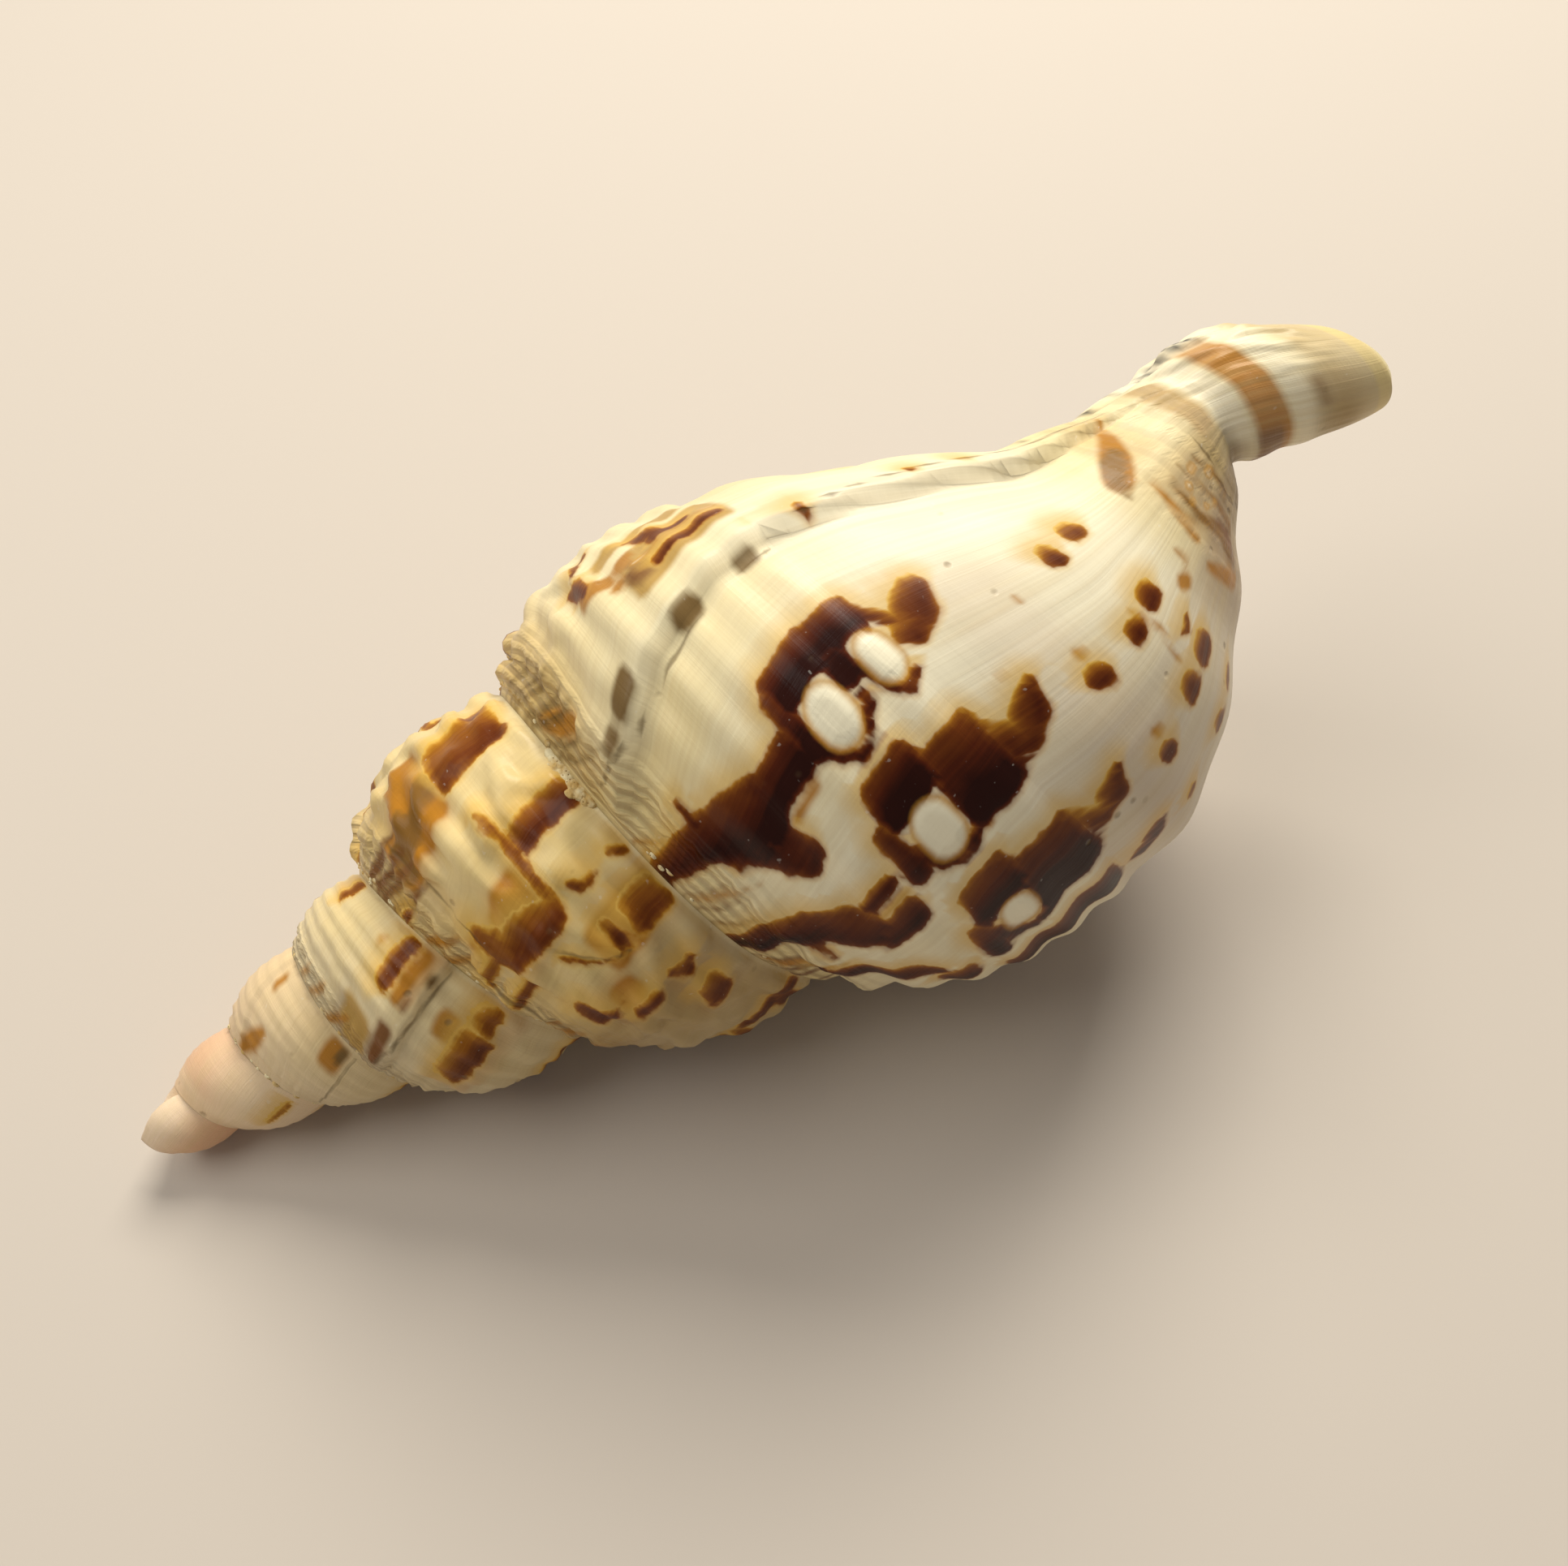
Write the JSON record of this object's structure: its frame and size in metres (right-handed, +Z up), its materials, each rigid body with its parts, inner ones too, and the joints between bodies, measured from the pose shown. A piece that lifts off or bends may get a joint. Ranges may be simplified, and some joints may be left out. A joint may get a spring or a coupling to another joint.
{
  "type": "triton trumpet shell",
  "caption": "Triton trumpet sea shell with a tall spire, a swollen last whorl and an open canal, lying on its side.",
  "frame": {"origin": "centre of the bounding box's footprint, on the surface that the shell rests on", "axes": "+X runs from the apex towards the end of the canal, +Z is up as the shell lies, and the aperture faces +Y"},
  "size_m": [0.1032, 0.0416, 0.0422],
  "materials": {
    "shell": "glossy ivory shell with brown marks"
  },
  "bodies": {
    "root": {"shell": "shell"}
  },
  "joints": []
}
